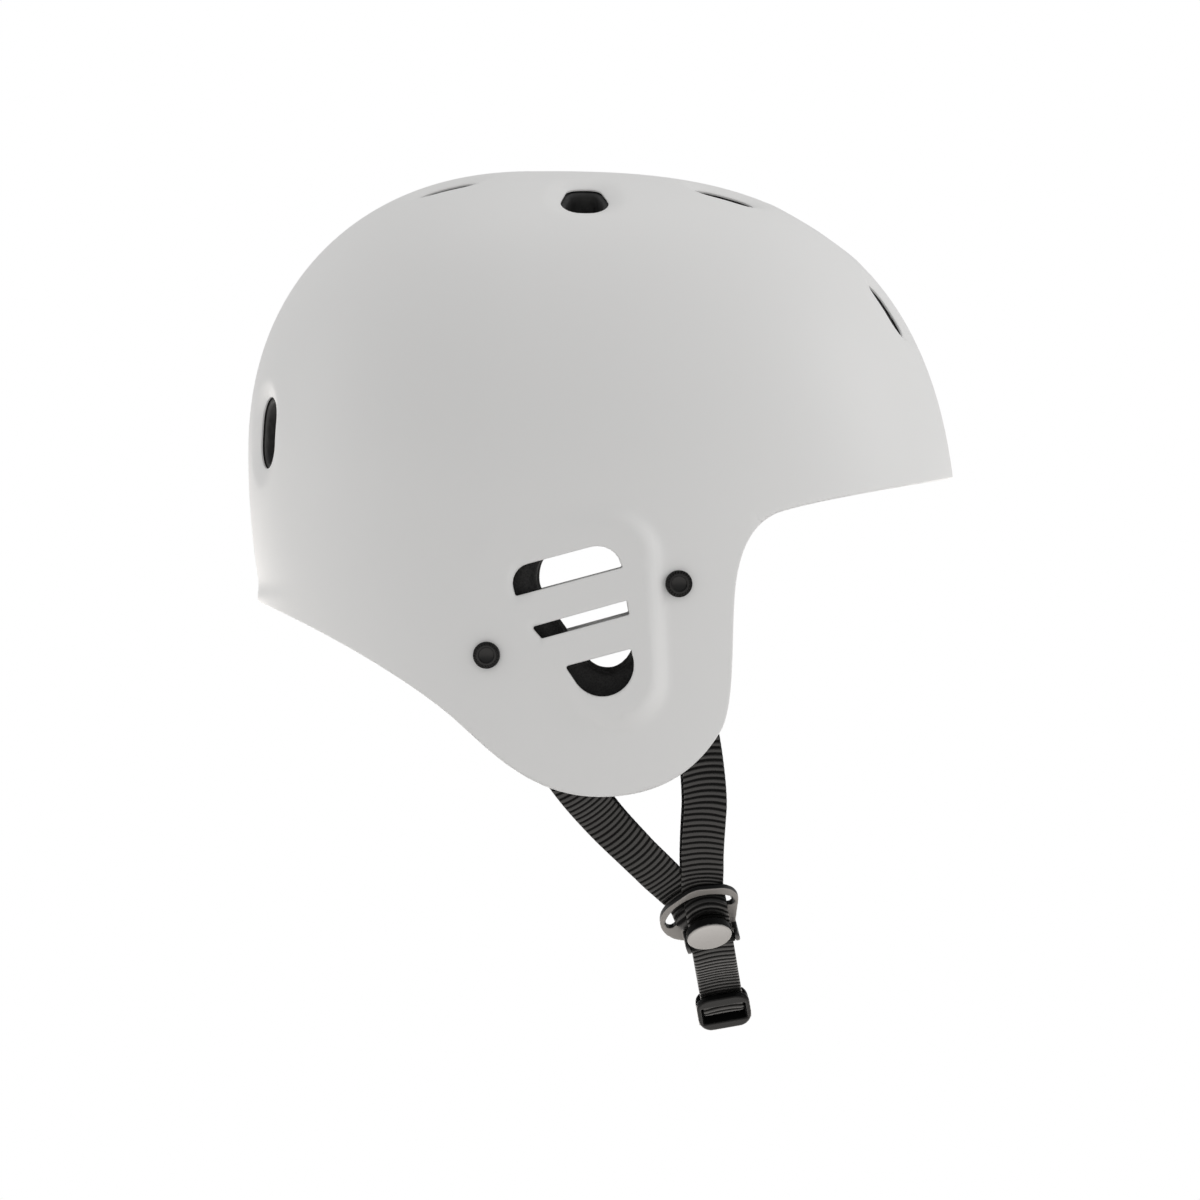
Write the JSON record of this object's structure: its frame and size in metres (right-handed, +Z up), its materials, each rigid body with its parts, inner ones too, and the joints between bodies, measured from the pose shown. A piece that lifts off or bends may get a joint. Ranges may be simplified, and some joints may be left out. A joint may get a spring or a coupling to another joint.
{
  "type": "skate helmet",
  "caption": "Full-cut skate helmet: hard vented shell with slotted ear covers, foam liner, pads, chin webbing, strap dividers with lock levers and a side-release buckle.",
  "frame": {"origin": "in the head cavity, on the mid plane, level with the lowest point of the brow edge", "axes": "+X forward, +Y towards the wearer's left, +Z up"},
  "size_m": [0.2709, 0.2164, 0.3301],
  "materials": {
    "shell": "satin white injection-moulded shell",
    "liner": "matte closed-cell foam",
    "pads": "brushed knit over soft foam",
    "tabs": "hook-and-loop pile",
    "webbing": "ribbed polyester webbing",
    "anchors": "moulded cap with a knurled edge",
    "nuts": "zinc-plated plate nut",
    "divider": "satin grey face",
    "lever": "gloss black",
    "disc": "satin domed disc",
    "buckle": "gloss black acetal",
    "latch": "gloss black acetal"
  },
  "bodies": {
    "helmet": {"outer_shell": "shell", "foam_liner": "liner", "ear_pad_right": "pads", "ear_pad_left": "pads", "brow_pad": "pads", "crown_pad": "pads", "nape_pad": "pads", "side_pad_right": "pads", "side_pad_left": "pads", "pad_tabs": "tabs", "ear_pad_tabs": "tabs", "chin_strap_right": "webbing", "chin_strap_left": "webbing", "anchor_front_right": "anchors", "anchor_rear_right": "anchors", "anchor_front_left": "anchors", "anchor_rear_left": "anchors", "anchor_nuts": "nuts", "buckle_housing": "buckle"},
    "divider_right": {"divider_plate_right": "divider"},
    "divider_left": {"divider_plate_left": "divider"},
    "lever_right": {"lock_lever_right": "lever", "lever_disc_right": "disc"},
    "lever_left": {"lock_lever_left": "lever", "lever_disc_left": "disc"},
    "plug": {"buckle_plug": "buckle"},
    "arm_front": {"latch_arm_front": "latch"},
    "arm_rear": {"latch_arm_rear": "latch"}
  },
  "joints": [
    {"name": "buckle_release", "type": "slide", "parent": "helmet", "child": "plug", "axis": [0, 1, 0], "range_m": [0, 0.024], "deforming": ["chin_strap_left", "latch_arm_front", "latch_arm_rear"]},
    {"name": "latch_press_front", "type": "hinge", "parent": "plug", "child": "arm_front", "pos_m": [0.05332, 0.011, -0.20626], "axis": [0.1736, 0, -0.9848], "range_deg": [0, 10], "stiffness_Nm_per_rad": 0.05},
    {"name": "latch_press_rear", "type": "hinge", "parent": "plug", "child": "arm_rear", "pos_m": [0.04268, 0.011, -0.20814], "axis": [-0.1736, 0, 0.9848], "range_deg": [0, 10], "stiffness_Nm_per_rad": 0.05},
    {"name": "divider_slide_right", "type": "slide", "parent": "helmet", "child": "divider_right", "axis": [0.1245, 0.6973, -0.7059], "range_m": [-0.008, 0.008], "deforming": ["chin_strap_right"]},
    {"name": "divider_slide_left", "type": "slide", "parent": "helmet", "child": "divider_left", "axis": [0.1245, -0.6973, -0.7059], "range_m": [-0.008, 0.008], "deforming": ["chin_strap_left"]},
    {"name": "lock_lever_right_turn", "type": "hinge", "parent": "divider_right", "child": "lever_right", "pos_m": [0.04285, -0.06752, -0.17644], "axis": [0.9579, -0.097, 0.2702], "range_deg": [0, 60]},
    {"name": "lock_lever_left_turn", "type": "hinge", "parent": "divider_left", "child": "lever_left", "pos_m": [0.0435, 0.06752, -0.18016], "axis": [-0.9579, -0.097, -0.2702], "range_deg": [0, 60]}
  ]
}
